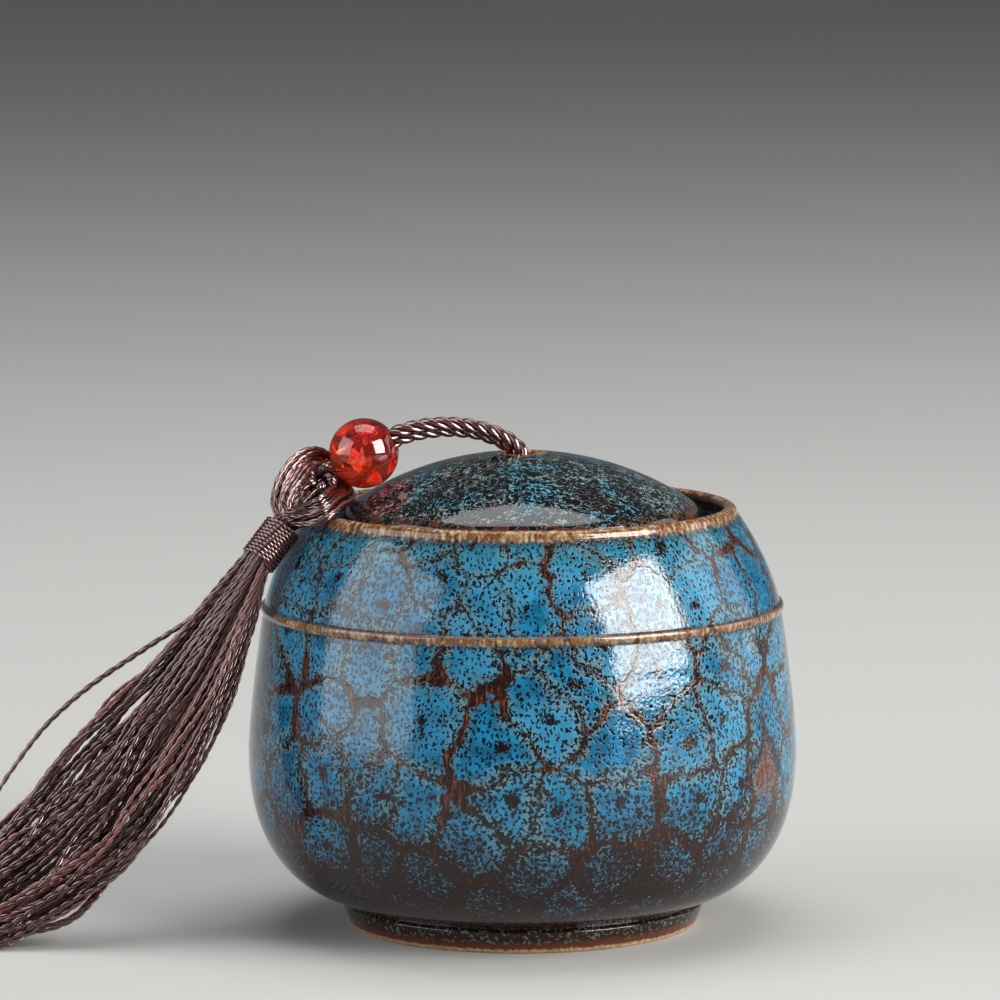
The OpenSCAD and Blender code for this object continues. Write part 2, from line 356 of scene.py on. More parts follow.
def makeSilk():
    f = silkFinish
    material, bench = newMaterial("silkThread")
    place = bench.placeInMm()
    tone = bench.add("ShaderNodeAttribute", {"attribute_name": "tone"})["Fac"]
    fuzz = bench.noise(place, f["fuzz"], detail=2, roughness=0.6)
    patch = bench.noise(place, f["patch"], detail=1)
    shade = tone * 0.7 + fuzz * 0.45 + patch * 0.3 - 0.25
    stops = list(zip(f["stops"], (f["dark"], f["mid"], f["pale"])))
    colour = bench.add("ShaderNodeValToRGB", {"stops": stops}, {"Fac": shade})["Color"]
    finishMaterial(bench, {"Base Color": colour, "Roughness": fuzz * f["roughFuzz"] + f["roughness"],
                           "IOR": f["ior"], "Specular IOR Level": f["gloss"],
                           "Specular Tint": f["glossTint"]}, (fuzz, f["lift"], 0.5))
    return material


silkMaterial = makeSilk()


# cord: two twisted legs side by side, from under the lid, through the ball to the far knot

def spots(*places):
    return [Vector(place) for place in places]


cordRoute = spots(
    (0, 0, 90.97), (0, 0, 92.9), (-0.3, 0, 94.2), (-1.3, 0, 95.7), (-3.2, 0, 97.2),
    (-5.8, 0, 98.4), (-8.7, 0, 99.3), (-11.8, -0.1, 99.8), (-15, -0.2, 100), (-18.2, -0.5, 99.8),
    (-21.3, -0.8, 99.3), (-24.2, -1, 98.5), (-27.4, -1, 96.9), (-31.4, -1, 94.9), (-35.4, -1, 92.9),
    (-37.6, -1, 91.8), (-39, -1.9, 90.7))
cordMake = {"width": 4.6 * mm, "legApart": 0.86, "plies": 3, "layRadius": 0.76, "plyRadius": 0.68,
            "pitch": 8.4, "legTurn": 32.0, "turnWaver": 10.0, "phase": 0.15, "tone": 0.6, "sides": 10,
            "spacing": 0.45}


def makeCord():
    c = cordMake
    path = curveThrough(cordRoute, c["spacing"])
    legs = []
    for side in (1, -1):
        points = []
        for i, p in enumerate(path):
            ahead = path[min(len(path) - 1, i + 1)] - path[max(0, i - 1)]
            up = ahead.normalized().cross(Vector((0, 1, 0))).normalized()
            lean = math.radians(c["legTurn"] + c["turnWaver"] * math.sin(i * 0.06))
            aside = up * -math.cos(lean) + Vector((0, -1, 0)) * math.sin(lean)
            points.append(p + side * c["legApart"] * mm * aside)
        legs.append((points, c["phase"] * side, 1.0, c["tone"]))
    length = sum((b - a).length for a, b in zip(path, path[1:]))
    return layThread("silkCord", legs, c), path, length


cordPiece, cordPath, cordLength = makeCord()
print("cord laid, %.1f mm" % (cordLength / mm))


def gentleFrames(path, start):
    # a sideways direction carried along a path without twist, and the one square to both
    frames, side = [], start
    for i in range(len(path)):
        ahead = (path[min(len(path) - 1, i + 1)] - path[max(0, i - 1)]).normalized()
        side = (side - ahead * side.dot(ahead)).normalized()
        frames.append((ahead, side, ahead.cross(side)))
    return frames


# knots: the stopper under the lid and the big one in the tassel's head

knotMake = {"stopperCentre": (0, 0, 87.2), "stopperSize": 1.32, "headCentre": (-40.3, -3.1, 89.8),
            "headSize": 1.2, "headTip": 62, "headTurn": 25, "ringRadius": 2.0, "tubeRadius": 0.95,
            "tubeLift": 1.35, "turnsRound": 2, "turnsThrough": 5, "points": 220, "plies": 5,
            "layRadius": 0.42, "plyRadius": 0.34, "pitch": -6, "sides": 6, "tone": 0.55}


def knotPath(centre, size, turn):
    k, points = knotMake, []
    ring, tube = k["ringRadius"] * size, k["tubeRadius"] * size
    for i in range(k["points"]):
        t = 2 * math.pi * i / (k["points"] - 1)
        angle, dip = k["turnsRound"] * t, k["turnsThrough"] * t
        away = ring + tube * math.cos(dip)
        p = Vector((away * math.cos(angle), away * math.sin(angle), k["tubeLift"] * tube * math.sin(dip)))
        points.append((Vector(centre) + turn @ p) * mm)
    return points


def makeKnot(name, centre, size, turn):
    return layThread(name, [(knotPath(centre, size, turn), 0.0, size, knotMake["tone"])], knotMake)


headLie = (Matrix.Rotation(math.radians(knotMake["headTip"]), 3, "X")
           @ Matrix.Rotation(math.radians(knotMake["headTurn"]), 3, "Z"))
stopperKnot = makeKnot("stopperKnotSilk", knotMake["stopperCentre"], knotMake["stopperSize"],
                       Matrix.Identity(3))
headKnot = makeKnot("headKnotSilk", knotMake["headCentre"], knotMake["headSize"], headLie)
print("knots tied")


# tassel: threads from the binding down to the table, and the loop of threads over the knot

tasselMake = {"seed": 11, "threads": 112, "spacing": 0.72, "plyRadius": 0.27, "layRadius": 0.2,
              "plies": 2, "pitch": 5.4, "sides": 5, "neckRadius": 3.1, "neckGirth": 0.8,
              "neckShares": (0.35, 0.7, 1.0), "locks": 13, "gather": 0.34, "cross": 0.42, "stir": 0.34,
              "trim": 0.93, "tableGap": 1.05, "tones": (0.1, 1.0), "strayGirth": 0.7}
loopMake = {"threads": 60, "spacing": 0.6, "broad": 1.35, "deep": 1.45, "sizes": (0.45, 1.1), "flare": 0.8,
            "swirl": 0.5, "wind": 1.2, "girth": 0.7, "tones": (0.1, 0.95)}
# the knot threads' tones stop short of the loop's lightest: painted shade inside the head's hollow
knotThreadMake = {"threads": 24, "spacing": 0.5, "girth": 0.72, "tones": (0.2, 0.6)}
goldenTurn = 2.39996  # radians from one thread to the next, so that they fill a disc evenly

# the neck, the low and top edges of the fan, the one stray thread, and the loop over the knot, in mm
neckTop, neckEnd = Vector((-46.8, -14, 82.2)), Vector((-52.4, -17, 75))
fanLow = spots(
    (-50.2, -17.4, 73.3), (-52.6, -18.4, 62.6), (-57.1, -21, 48.1), (-63.4, -23, 35.5),
    (-70.2, -25, 23.8), (-78.1, -27, 14.2), (-88.9, -28.4, 5.6), (-102, -29.6, 1.2),
    (-115, -31, 0.9), (-128, -32, 0.8))
fanTop = spots(
    (-54.6, -16.6, 76.7), (-61.2, -14, 69.2), (-71.8, -12, 56.8), (-81.8, -12, 47.4),
    (-89.8, -12, 38.6), (-96.2, -12.6, 31.2), (-104, -13.4, 23), (-112, -14, 14.6),
    (-121, -14, 7.4), (-130, -13, 3.4))
fanHalfThick = [2.8, 3.4, 4.2, 4.8, 5, 5, 4.6, 3.6, 2.4, 1.4]
strayRoute = spots(
    (-48.6, -15.4, 79), (-52.8, -15.8, 75.2), (-57.5, -12.5, 70.4), (-65.9, -10, 63), (-75, -9.6, 57),
    (-84.9, -10, 50.4), (-91.5, -10.3, 45), (-96.8, -11, 39.5), (-103.8, -12, 29.9), (-108.5, -13, 22),
    (-114, -14, 12), (-121, -15, 4.5), (-128, -16, 1.2))
loopRoute = spots(
    (-49, -15.2, 79.3), (-47.4, -13.9, 82), (-46.9, -13.1, 83.9), (-47.8, -12, 85.8),
    (-47.6, -9.5, 88.4), (-46, -6.3, 91.6), (-43.4, -2.9, 94), (-40.4, 1.2, 94.2),
    (-37.5, 4.8, 91.8), (-35.7, 4, 88.6), (-35, -1, 86.6), (-35.3, -8, 86.5),
    (-36.5, -14.6, 86.6), (-38.1, -20.8, 85.8), (-40.7, -20.8, 84.6), (-43.1, -18.2, 84),
    (-45.4, -14.9, 83.4), (-47.2, -14.6, 81.6), (-48.8, -15.4, 79.2))
knotStops = (((-39.8, -2.6, 88.6), 1.9), ((-42.2, -5.6, 87.0), 2.2), ((-44.8, -10.2, 84.6), 1.6),
             ((-46.9, -13.9, 82.0), 0.9), ((-48.8, -15.2, 79.6), 0.9))  # each with its spread


def fanSections():
    # each section: middle, half width towards the top edge, half thickness towards the back
    axis = (neckEnd - neckTop).normalized()
    across = axis.cross(fanTop[0] - fanLow[0]).cross(axis).normalized()
    radius = tasselMake["neckRadius"]
    sections = [(neckTop.lerp(neckEnd, share), across * radius, axis.cross(across) * radius)
                for share in tasselMake["neckShares"]]
    for i in range(1, len(fanLow)):
        middle, wide = (fanLow[i] + fanTop[i]) / 2, (fanTop[i] - fanLow[i]) / 2
        before = (fanLow[i - 1] + fanTop[i - 1]) / 2
        thick = (middle - before).cross(wide).normalized() * fanHalfThick[i]
        sections.append((middle, wide, thick))
    return sections


def girthAlong(points, low):
    return [blendOf(low, 1.0, smooth(0.04, 0.14, i / len(points))) for i in range(len(points))]


def makeSkirtLines():
    m = tasselMake
    draw = random.Random(m["seed"])
    sections = fanSections()
    locks = [(draw.uniform(-1, 1), draw.uniform(-0.8, 0.8)) for _ in range(m["locks"])]
    lines = []
    for k in range(m["threads"]):
        away = math.sqrt((k + 0.5) / m["threads"]) * 0.96
        turn = k * goldenTurn
        home = Vector((away * math.cos(turn), away * math.sin(turn)))
        lock = Vector(min(locks, key=lambda spot: (Vector(spot) - home).length))
        drift = Vector((draw.uniform(-1, 1), draw.uniform(-1, 1))) * m["cross"]
        wander = draw.uniform(0, 100)
        points = []
        for i, (middle, wide, thick) in enumerate(sections):
            s = i / (len(sections) - 1)
            loose = smooth(0.15, 0.6, s)
            gathered = m["gather"] * math.sin(math.pi * min(1, s * 1.15)) ** 2
            spot = home.lerp(lock, gathered) + drift * (s - 0.35) * loose
            stir = Vector((noise.noise((wander, i * 0.7, 0)), noise.noise((wander, i * 0.7, 9))))
            spot += stir * m["stir"] * loose
            if spot.length > 1:
                spot /= spot.length
            p = middle + wide * spot.x - thick * spot.y
            p.z = max(m["tableGap"], p.z)
            points.append(p)
        dense = curveThrough(points, m["spacing"])
        dense = dense[:round(len(dense) * draw.uniform(m["trim"], 1.0))]
        girth = girthAlong(dense, m["neckGirth"])
        lines.append((dense, draw.random(), girth, draw.uniform(*m["tones"])))
    stray = curveThrough(strayRoute, m["spacing"])
    for shift, phase in ((-0.42, 0.1), (0.42, 0.6)):
        moved = [p + Vector((0.2, 0.5, 0.5)) * shift * mm for p in stray]
        lines.append((moved, phase, girthAlong(moved, m["strayGirth"]), 0.5))
    return lines


def makeLoopLines(draw):
    m = loopMake
    route = curveThrough(loopRoute, m["spacing"])
    frames = gentleFrames(route, Vector((1, 0, 0)))
    broad, deep = m["broad"] * mm, m["deep"] * mm
    middle = Vector(knotMake["headCentre"]) * mm
    lines = []
    for k in range(m["threads"]):
        away = math.sqrt((k + 0.5) / m["threads"])
        turn, phase = k * goldenTurn, draw.random()
        swirl = draw.uniform(-m["swirl"], m["swirl"])
        size = blendOf(*m["sizes"], draw.random() ** 0.85)
        points = []
        for i, (_, side, other) in enumerate(frames):
            s = i / (len(frames) - 1)
            angle = turn + swirl * math.sin(math.pi * s) + m["wind"] * s
            parted = smooth(0.02, 0.2, s) * smooth(0.98, 0.8, s)
            home = route[i].lerp(middle, (1 - size) * parted)
            home.y = route[i].y
            flare = 1 + m["flare"] * (1 - smooth(0, 0.15, s) * smooth(1, 0.85, s))
            aside = side * broad * math.cos(angle) + other * deep * math.sin(angle)
            points.append(home + aside * away * flare)
        last = len(points) - 1
        girth = [blendOf(m["girth"], 1.0, math.sin(math.pi * i / last)) for i in range(last + 1)]
        lines.append((points, phase, girth, draw.uniform(*m["tones"])))
    return lines


def makeKnotThreadLines(draw):
    # threads that run straight from the knot down into the neck; their tones stop at 0.6, short of the
    # loop's lightest, as painted shade inside the head's hollow
    m, lines = knotThreadMake, []
    for _ in range(m["threads"]):
        aside = Vector((draw.uniform(-1, 1), draw.uniform(-1, 1), draw.uniform(-1, 1)))
        points = curveThrough([Vector(p) + aside * spread for p, spread in knotStops], m["spacing"])
        lines.append((points, draw.random(), m["girth"], draw.uniform(*m["tones"])))
    return lines


def makeTassel():
    skirt, draw = makeSkirtLines(), random.Random(tasselMake["seed"] + 1)
    loop = makeLoopLines(draw) + makeKnotThreadLines(draw)
    half = len(skirt) // 2
    bundles = {"skirtThreadsBack": skirt[:half], "skirtThreadsFront": skirt[half:], "headLoopThreads": loop}
    return [layThread(name, lines, tasselMake) for name, lines in bundles.items()]


tasselPieces = makeTassel()
print("tassel threads laid")


# binding: one thread wound close round the tassel's neck

bindingMake = {"turns": 11.5, "radius": 3.43, "from": 0.05, "to": 0.95, "waver": 0.004, "steps": 900,
               "plies": 2, "plyRadius": 0.29, "layRadius": 0.14, "pitch": 3.1, "sides": 6, "tone": 0.62}


def makeBinding():
    b = bindingMake
    axis = neckEnd - neckTop
    side = axis.cross(Vector((0, 0, 1))).normalized()
    other = axis.normalized().cross(side)
    points = []
    for i in range(b["steps"] + 1):
        s = i / b["steps"]
        angle = 2 * math.pi * b["turns"] * s
        along = blendOf(b["from"], b["to"], s) + b["waver"] * math.sin(9 * s)
        out = (side * math.cos(angle) + other * math.sin(angle)) * b["radius"]
        points.append((neckTop + axis * along + out) * mm)
    return layThread("bindingThread", [(points, 0.0, 1.0, b["tone"])], b)


bindingPiece = makeBinding()
print("binding wound")


# lathe: a profile of (radius, height) in mm turned into a closed skin

def softened(profile, reach=0.3, sharp=20):
    # every corner sharper than `sharp` degrees becomes a small round
    result = [profile[0]]
    for before, here, after in zip(profile, profile[1:], profile[2:]):
        a, b, c = Vector(before), Vector(here), Vector(after)
        if math.degrees((b - a).angle(c - b)) < sharp:
            result.append(here)
            continue
        first = b + (a - b).normalized() * min(reach, (a - b).length * 0.45)
        last = b + (c - b).normalized() * min(reach, (c - b).length * 0.45)
        for s in range(6):
            t = s / 5
            result.append(tuple(first * (1 - t) ** 2 + b * 2 * t * (1 - t) + last * t * t))
    return result + [profile[-1]]


def filled(profile, spacing):
    result = [profile[0]]
    for a, b in zip(profile, profile[1:]):
        a, b = Vector(a), Vector(b)
        count = max(1, math.ceil((b - a).length / spacing))
        result += [tuple(a.lerp(b, (i + 1) / count)) for i in range(count)]
    return result


def roundTurns(count):
    return [2 * math.pi * k / count for k in range(count)]


def arc(centre, radius, start, end, count):
    # points on a circle in a profile; angles in degrees, from straight out, upwards
    turns = [math.radians(a) for a in spaced(start, end, count)]
    return [(centre[0] + radius * math.cos(a), centre[1] + radius * math.sin(a)) for a in turns]


def domeArc(centre, radius, start, end, count):
    # the same with angles in radians, from straight up, outwards
    return [(centre[0] + radius * math.sin(a), centre[1] + radius * math.cos(a))
            for a in spaced(start, end, count)]


def meshOf(name, verts, faces, *materials):
    mesh = bpy.data.meshes.new(name)
    mesh.from_pydata(verts, [], faces)
    for material in materials:
        mesh.materials.append(material)
    mesh.shade_smooth()
    mesh.update()
    return mesh


def turned(name, profile, segments, uneven, material):
    # uneven(angle, radius, height) gives how far the surface stands out, in mm
    rings, verts, faces = [], [], []
    for r, z in profile:
        if r < 1e-6:
            rings.append([len(verts)])
            verts.append((0, 0, z * mm))
            continue
        rings.append(list(range(len(verts), len(verts) + segments)))
        for angle in roundTurns(segments):
            away = (r + uneven(angle, r, z)) * mm
            verts.append((away * math.cos(angle), away * math.sin(angle), z * mm))
    for low, high in zip(rings, rings[1:] + rings[:1]):
        for k in range(segments):
            j = (k + 1) % segments
            if len(low) == 1 and len(high) == 1:
                break
            if len(low) == 1:
                faces.append((low[0], high[j], high[k]))
            elif len(high) == 1:
                faces.append((low[k], low[j], high[0]))
            else:
                faces.append((low[k], low[j], high[j], high[k]))
    return linkObject(name, meshOf(name, verts, faces, material))


# jar

jarShape = {"footRadius": 35.0, "footFlare": 1.5, "footHeight": 4.8, "soleInner": 29.5, "recess": 3.0,
            "bevel": 0.4, "groove": 0.9, "bellyStart": 30.5, "bellyRadius": 55.0, "bellyHeight": 35.7,
            "bellyPower": 2.33, "bandRadius": 51.8, "bandHeight": 64.1, "bandEdge": 1.1,
            "shoulderBulge": 1.1, "lipRadius": 41.6, "lipHeight": 82.8, "lipRound": 1.5, "ledge": 78.0,
            "mouth": 31.0, "ledgeThick": 3.7, "ledgeRise": 5.0, "wall": 4.6, "floor": 9.0,
            "floorRadius": 26.0, "segments": 230, "spacing": 1.0, "slowUneven": 0.16, "ringUneven": 0.035}


def lowerBelly(startR, startZ, endR, fromAngle, count):
    power, top = 2 / jarShape["bellyPower"], jarShape["bellyHeight"]
    result = []
    for i in range(count + 1):
        a = math.radians(blendOf(fromAngle, 90, i / count))
        result.append((startR + (endR - startR) * math.sin(a) ** power,
                       startZ + (top - startZ) * (1 - max(0, math.cos(a)) ** power)))
    return result


def upperBelly(z):
    j = jarShape
    share = min(1, max(0, (z - j["bellyHeight"]) / (j["bandHeight"] - j["bellyHeight"])))
    return j["bellyRadius"] - (j["bellyRadius"] - j["bandRadius"]) * share ** 1.34


def shoulder(z):
    j = jarShape
    q = (z - j["bandHeight"]) / (j["lipHeight"] - j["bandHeight"])
    end = j["lipRadius"] + j["lipRound"]
    return j["bandRadius"] + (end - j["bandRadius"]) * q + 4 * j["shoulderBulge"] * q * (1 - q)


def jarProfile():
    j = jarShape
    bevel, foot, top = j["bevel"], j["footRadius"], j["footRadius"] + j["footFlare"]
    edge, wall = 0.87 * j["bandEdge"], j["wall"]
    under = [(0, j["recess"]), (j["soleInner"] - 3 * bevel, j["recess"]),
             (j["soleInner"] - bevel, 1.5 * bevel), (j["soleInner"], 0), (foot - bevel, 0), (foot, bevel),
             (top, j["footHeight"] - bevel), (top - bevel, j["footHeight"]),
             (top - j["groove"], j["footHeight"] + bevel)]
    outer = lowerBelly(j["bellyStart"], j["footHeight"] + bevel, j["bellyRadius"], 12, 56)
    outer += [(upperBelly(z), z) for z in spaced(j["bellyHeight"] + 1, j["bandHeight"] - edge, 28)]
    outer += arc((j["bandRadius"] - 0.45 * j["bandEdge"], j["bandHeight"]), j["bandEdge"], -45, 45, 10)
    outer += [(shoulder(z), z) for z in spaced(j["bandHeight"] + edge, j["lipHeight"], 20)]
    outer += arc((j["lipRadius"], j["lipHeight"]), j["lipRound"], 15, 180, 14)
    inner = [(shoulder(j["ledge"]) - wall, j["ledge"]), (j["mouth"] + bevel, j["ledge"]),
             (j["mouth"], j["ledge"] - bevel), (j["mouth"], j["ledge"] - j["ledgeThick"])]
    low = j["ledge"] - j["ledgeThick"] - j["ledgeRise"]
    inner += [(shoulder(z) - wall, z) for z in spaced(low, j["bandHeight"], 6)]
    inner += [(upperBelly(z) - wall, z) for z in spaced(j["bandHeight"] - 3, j["bellyHeight"] + 2, 14)]
    inner += lowerBelly(j["floorRadius"], j["floor"], j["bellyRadius"] - wall, 0, 40)[::-1]
    inner.append((0, j["floor"]))
    return filled(softened(under + outer + inner), j["spacing"])


def thrownUneven(angle, r, z):
    # the slow out-of-round and faint finger rings of a thrown pot, nothing near the seats
    x, y = math.cos(angle), math.sin(angle)
    seat = 1 - smooth(74, 77, z) * smooth(40.5, 39.5, r)
    slow = noise.noise((x * 1.3, y * 1.3, z / 38)) * jarShape["slowUneven"]
    rings = noise.noise((0.4 * x, 0.4 * y, z / 2.6)) * jarShape["ringUneven"]
    return (slow + rings) * seat * smooth(0.2, 8, z)


glazeColours = {"deep": rgb(4, 84, 118), "bright": rgb(14, 116, 158), "sky": rgb(70, 146, 180),
                "teal": rgb(52, 118, 126), "pale": rgb(112, 136, 130), "fleck": rgb(12, 9, 9),
                "brown": rgb(34, 14, 9), "rust": rgb(92, 44, 20), "amber": rgb(134, 78, 32),
                "ochre": rgb(130, 92, 50), "cream": rgb(182, 156, 118), "moss": rgb(88, 96, 80),
                "inside": rgb(70, 38, 20), "clay": rgb(150, 118, 86)}
glazeSizes = {"broad": 16, "wobble": 6.5, "small": 1.6, "tiny": 0.8, "mottle": 3.2, "cell": 11.5,
              "cellLoose": 0.9, "cellWarp": 6.0, "edgeWarp": 1.2, "grain": 0.7, "fleck": 0.88,
              "fleckLoose": 0.82, "fleckWarp": 1.25, "net": 0.55, "vein": 0.95, "spot": 0.75,
              "flatRadius": 50, "roughness": 0.045, "lift": 0.00009}
glazeGloss = {"bareRoughness": 0.6, "ior": 1.44, "strength": 0.6}  # of jar and lid alike


def finishGlaze(bench, coat, bare, lift, sizes):
    g = glazeGloss
    finishMaterial(bench, {"Base Color": coat, "Roughness": bare * g["bareRoughness"] + sizes["roughness"],
                           "IOR": g["ior"]}, (lift, sizes["lift"], g["strength"]))


def makeJarGlaze():
    g, c = glazeSizes, glazeColours
    material, bench = newMaterial("jarGlaze")
    place = bench.placeInMm()
    x, y, z = bench.parts(place)
    radius = (x * x + y * y) ** 0.5
    angle = x.join("ARCTAN2", y * -1)
    # the skin of the jar laid flat: round it and up it, with the join at the back
    around = angle * g["flatRadius"]
    up = z + (jarShape["bellyRadius"] - radius) * (z.step(33, 38) * 0.9 - 0.7)
    broad = bench.noise(place, g["broad"], detail=1)
    wobble = bench.noise(place, g["wobble"], detail=2, out="Color")
    small = bench.noise(place, g["small"], detail=1, out="Color")
    tiny = bench.noise(place, g["tiny"], detail=1, out="Color")
    wobbleSide = bench.parts(wobble, "Color")[0] - 0.5
    smallSide = bench.parts(small, "Color")[0] - 0.5
    shift = bench.vector("ADD", bench.shoved(wobble, g["cellWarp"]), bench.shoved(small, g["edgeWarp"]))
    flat = bench.vector("ADD", bench.joined(around, up * 0.85), shift)
    cell, edge = (bench.cells(feature, flat, g["cell"], g["cellLoose"])
                  for feature in ("F1", "DISTANCE_TO_EDGE"))
    middle, border = cell["Distance"] * g["cell"], edge["Distance"] * g["cell"]
    lotA, lotB, _ = bench.parts(cell["Color"], "Color")
    # flecks and a fine net
    grain = bench.noise(place, g["grain"], detail=1.2, roughness=0.45, distortion=0.55)
    coarse = grain - 0.5
    gritFlat = bench.vector("ADD", bench.joined(around, up * 0.74), bench.shoved(tiny, g["fleckWarp"]))
    grit = bench.cells("F1", gritFlat, g["fleck"], g["fleckLoose"])["Distance"]
    net = bench.noise(bench.vector("ADD", place, (31.0, 7.0, 3.0)), g["net"], detail=1.5, distortion=0.9)
    upright = bench.noise(bench.vector("MULTIPLY", place, (0.16, 0.16, 0.05)), 1.0, detail=2)
    streak = bench.noise(bench.vector("MULTIPLY", place, (1.6, 1.6, 0.22)), 1.0, detail=2)
    above = z.step(63.5, 65.5)
    fade = z + (broad - 0.5) * 26 + (streak - 0.5) * 10
    low = fade.step(37, 10)
    rim = border.step(2.6, 0.3) * (1 - z.step(60, 74) * 0.4)
    corner = (middle / g["cell"] + wobbleSide * 0.35).step(0.5, 0.74)
    # blue, deeper in patches, pale and broken towards each cell's rim
    mottled = bench.mix(bench.noise(place, g["mottle"], detail=2).step(0.36, 0.66), c["deep"], c["bright"])
    # lighter sky blue in random cells and above the band is the glaze's own; the extra on the front right,
    # towards the right softbox, is painted light
    skyAndPaintedLight = (above * 0.3 + lotB * 0.6 + angle.step(0.2, 1.2) * 0.3) * broad.step(0.4, 0.6)
    paleShare = (rim * 0.95 + low * 0.4).least(0.92) * net.step(0.42, 0.54)
    # dark flecks thicken towards the rims and the foot
    limit = 0.72 - rim * 0.18 - low * 0.24
    reach = 0.3 + rim * 0.05 + low * 0.16 + (lotA - 0.5) * 0.08 + coarse * 0.5
    flecks = (grain - limit).step(-0.012, 0.022).most((reach - grit).step(-0.05, 0.06))
    # veins between the cells, mostly upright, and a spot in the heart of most cells
    swell = corner * g["vein"] * upright.step(0.3, 0.65)
    width = (upright.step(0.35, 0.6) * 0.26 + 0.02 + swell) * (1 - above * 0.35)
    ragged = border + coarse + smallSide * 0.8
    vein = (width - ragged).step(-0.16, 0.22)
    halo = (width * 1.8 + 0.4 - ragged).step(-0.6, 0.9) * 0.6
    spot = (lotA * g["spot"] + 0.65 - middle - coarse * 3.4).step(-0.15, 0.2)
    rusty = bench.mix(grain.step(0.5, 0.62), c["rust"], c["amber"])
    veinColour = bench.mix(corner * streak.step(0.5, 0.66) * 0.85, c["brown"], rusty)
    # one rusty run low on the right
    runWidth, runHeight = (46 - z).step(-1, 22) * 0.2, z.step(48, 45)
    offRun = (angle - 1.05 + wobbleSide * 0.16).join("ABSOLUTE") + coarse * 0.1
    arms = (0.018 - (offRun - runWidth).join("ABSOLUTE")).step(-0.015, 0.015) * z.step(18, 26)
    heartRun = (runWidth * 0.8 - offRun).step(-0.02, 0.04) * (z + coarse * 14).step(26, 34)
    wedge = bench.mix(streak.step(0.35, 0.6), c["rust"], c["amber"])
    # ochre where it breaks over the band and the lip
    fine = bench.noise(bench.vector("MULTIPLY", place, (1.1, 1.1, 0.4)), 1.0, detail=2, roughness=0.6)
    fineSide = fine - 0.5
    offBand = (z - jarShape["bandHeight"] + fineSide * 1.3).join("ABSOLUTE")
    core = offBand.step(1.05, 0.55)
    tan = bench.mix(fine.step(0.44, 0.72), bench.mix(streak, c["ochre"], c["rust"]), c["cream"])
    lip = (z + fineSide * 1.6).step(81.9, 83.0)
    inside = radius.step(40.9, 40.2) * z.step(8.5, 9.2)
    # the seam at the back is a long brown run
    seamWidth = wobbleSide.most(0) * 0.35 + smallSide * 0.03 + 0.018
    seam = (angle.join("ABSOLUTE") - math.pi + seamWidth).step(-0.006, 0.006)
    # foot: dark brown at the top, partly painted shade in the groove above it, then rust, then bare clay on
    # the sole
    outside = radius.step(29.0, 29.6)
    foot = bench.mix(z.step(1.1, 3.2) * outside, c["rust"], c["brown"])
    foot = bench.mix(grain.step(0.58, 0.62) * z.step(1.5, 2.5), foot, c["moss"])
    bare = ((z + fineSide * 1.1).step(1.15, 0.6)).most(1 - outside) * z.step(8, 6)
    coat = bench.layered(mottled, (
        (skyAndPaintedLight, c["sky"]),
        (z.step(72, 82) * 0.45, c["teal"]),
        (paleShare, c["pale"]),
        (flecks * 0.97, c["fleck"]),
        (halo * net.step(0.42, 0.6), bench.mix(corner * 0.5, c["brown"], c["rust"])),
        (vein, veinColour),
        (spot * lotB.join("GREATER_THAN", 0.15), bench.mix(0.3, c["fleck"], c["brown"])),
        (low * (1 - net.step(0.55, 0.64)) * 0.85, c["brown"]),  # darker brown over the lower belly
        (fade.step(9, 4) * net.step(0.58, 0.64) * 0.7, c["moss"]),
        (heartRun * runHeight * 0.9, bench.mix(net.step(0.45, 0.6), wedge, c["brown"])),
        (arms * runHeight, veinColour),
        (offBand.step(1.9, 1.0) * fine.step(0.35, 0.6) * 0.85, c["brown"]),
        (core * (1 - streak.step(0.56, 0.66) * 0.8) * (1 - vein * 0.8), tan),
        ((z + fineSide * 2.4).step(80.6, 82.2) * 0.6, c["brown"]),
        (lip, bench.mix(fine.step(0.30, 0.52), c["rust"], tan)),
        (inside, bench.mix(net.step(0.4, 0.7), c["brown"], c["inside"])),
        (seam * (1 - lip) * (1 - core * 0.6), veinColour),
        # the foot's dark top also covers the groove: painted shade in the groove
        (z.step(5.6, 4.6), foot),
        (bare, bench.mix(grain.step(0.4, 0.62), c["clay"], c["cream"]))))
    lift = grain * -0.4 + flecks * -0.3 + vein * -0.35 + streak * 0.3
    finishGlaze(bench, coat, bare, lift, g)
    return material


jarPiece = turned("glazedJar", jarProfile(), jarShape["segments"], thrownUneven, makeJarGlaze())
print("jar turned")


# lid

lidShape = {"domeCentre": 32.987, "dome": 62.0, "under": 57.8, "roll": 3.8, "rollCentre": (32.0, 81.6),
            "radius": 35.8, "seat": 78.0, "spigot": 30.4, "spigotInner": 27.0, "spigotLow": 73.5,
            "hole": 3.3, "bevel": 0.4, "segments": 224, "spacing": 0.9, "uneven": 0.07}


def lidProfile():
    s = lidShape
    start = math.asin((s["hole"] + 1.0) / s["dome"])
    end = math.asin(s["rollCentre"][0] / (s["dome"] - s["roll"]))
    edge, inside = math.asin(s["spigotInner"] / s["under"]), math.asin(s["hole"] / s["under"])
    middle = (0, s["domeCentre"])
    profile = domeArc(middle, s["under"], inside, edge, 30)
    profile += [(s["spigotInner"], s["spigotLow"]), (s["spigot"] - s["bevel"], s["spigotLow"]),
                (s["spigot"], s["spigotLow"] + s["bevel"]), (s["spigot"], s["seat"]),
                (s["radius"] - s["bevel"], s["seat"]), (s["radius"], s["seat"] + s["bevel"])]
    profile += domeArc(s["rollCentre"], s["roll"], math.pi / 2, end, 14)
    profile += domeArc(middle, s["dome"], end * 0.985, start, 44)
    profile += [(s["hole"], s["domeCentre"] + s["dome"] * math.cos(start) - 1.0)]
    return filled(softened(profile), s["spacing"])


def lidUneven(angle, r, z):
    wave = noise.noise((math.cos(angle), math.sin(angle), z / 9 + 20))
    return wave * lidShape["uneven"] * smooth(79, 82, z)


